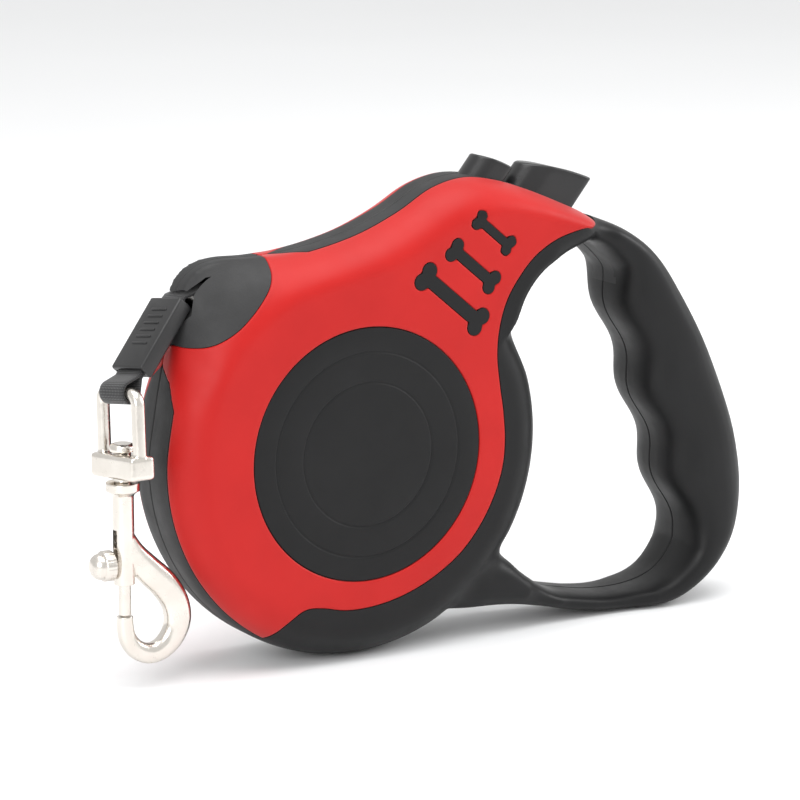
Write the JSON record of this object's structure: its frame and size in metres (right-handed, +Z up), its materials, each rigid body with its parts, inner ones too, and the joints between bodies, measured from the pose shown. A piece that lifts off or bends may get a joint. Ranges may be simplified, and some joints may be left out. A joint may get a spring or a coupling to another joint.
{
  "type": "retractable leash",
  "caption": "Retractable tape leash: round casing with closed hand loop, brake and lock buttons, sprung spool, ribbed bumper, swivel ring and bolt snap hook.",
  "frame": {"origin": "bottom centre of the bounding box, on the surface the leash stands on", "axes": "+X from the tape mouth to the hand loop, +Z up, +Y to the far side across the casing's thickness; the seam plane is close to Y = 0"},
  "size_m": [0.1677, 0.0289, 0.1077],
  "materials": {
    "casing_black": "fine moulded grain on the nose and edge strips, smooth matte elsewhere",
    "soft_red": "soft-touch matte red",
    "cap_black": "satin black with fine turned rings",
    "button_black": "smooth satin black",
    "bumper_black": "satin black with short ribs",
    "webbing": "woven black tape",
    "nickel": "bright nickel plate, slightly warm",
    "spring_steel": "plain steel",
    "nylon": "natural nylon"
  },
  "bodies": {
    "casing": {"left_shell": "casing_black", "right_shell": "casing_black", "left_skin": "soft_red", "right_skin": "soft_red", "left_cap": "cap_black", "right_cap": "cap_black", "arbor": "spring_steel", "casing_screws": "spring_steel", "guide_pin": "spring_steel", "power_spring": "spring_steel", "tape_run": "webbing", "brake_spring": "spring_steel", "lock_spring": "spring_steel"},
    "spool": {"spool_core": "nylon", "spool_flange": "nylon", "spring_cover": "nylon", "cover_screws": "spring_steel", "tape_winding": "webbing"},
    "brake": {"brake_button": "button_black", "brake_pawl": "nylon"},
    "lock": {"lock_button": "button_black"},
    "tape_end": {"bumper": "bumper_black", "bumper_rivet": "spring_steel", "tape_loop": "webbing"},
    "ring": {"swivel_ring": "nickel"},
    "hook": {"hook_body": "nickel", "bolt_spring": "spring_steel"},
    "bolt": {"thumb_bolt": "nickel"}
  },
  "joints": [
    {"name": "leash_slide", "type": "slide", "parent": "casing", "child": "tape_end", "axis": [-0.652, -0.2496, -0.7159], "range_m": [0, 3], "stiffness_N_per_m": 1, "springref_m": -5},
    {"name": "spool_spin", "type": "hinge", "parent": "casing", "child": "spool", "pos_m": [-0.0202, 0, 0.0462], "axis": [0, -1, 0], "range_deg": [0, 6480]},
    {"name": "brake_press", "type": "slide", "parent": "casing", "child": "brake", "axis": [-0.6293, 0, -0.7771], "range_m": [0, 0.0032], "stiffness_N_per_m": 900, "springref_m": -0.003, "deforming": ["brake_spring"]},
    {"name": "lock_press", "type": "slide", "parent": "casing", "child": "lock", "axis": [-0.6293, 0, -0.7771], "range_m": [0, 0.003], "stiffness_N_per_m": 700, "springref_m": -0.003, "deforming": ["lock_spring"]},
    {"name": "ring_swing", "type": "hinge", "parent": "tape_end", "child": "ring", "pos_m": [-0.07569, -0.00569, 0.06454], "axis": [0.1386, -0.9865, 0.0872], "range_deg": [-60, 3]},
    {"name": "hook_swivel", "type": "hinge", "parent": "ring", "child": "hook", "pos_m": [-0.07603, -0.0071, 0.049], "axis": [0, 0, 1], "continuous": true},
    {"name": "bolt_pull", "type": "slide", "parent": "hook", "child": "bolt", "axis": [0, 0, 1], "range_m": [0, 0.0065], "stiffness_N_per_m": 400, "springref_m": -0.004, "deforming": ["bolt_spring"]}
  ],
  "couplings": [
    {"joint": "spool_spin", "follows": "leash_slide", "rad_per_m": 37.699}
  ]
}
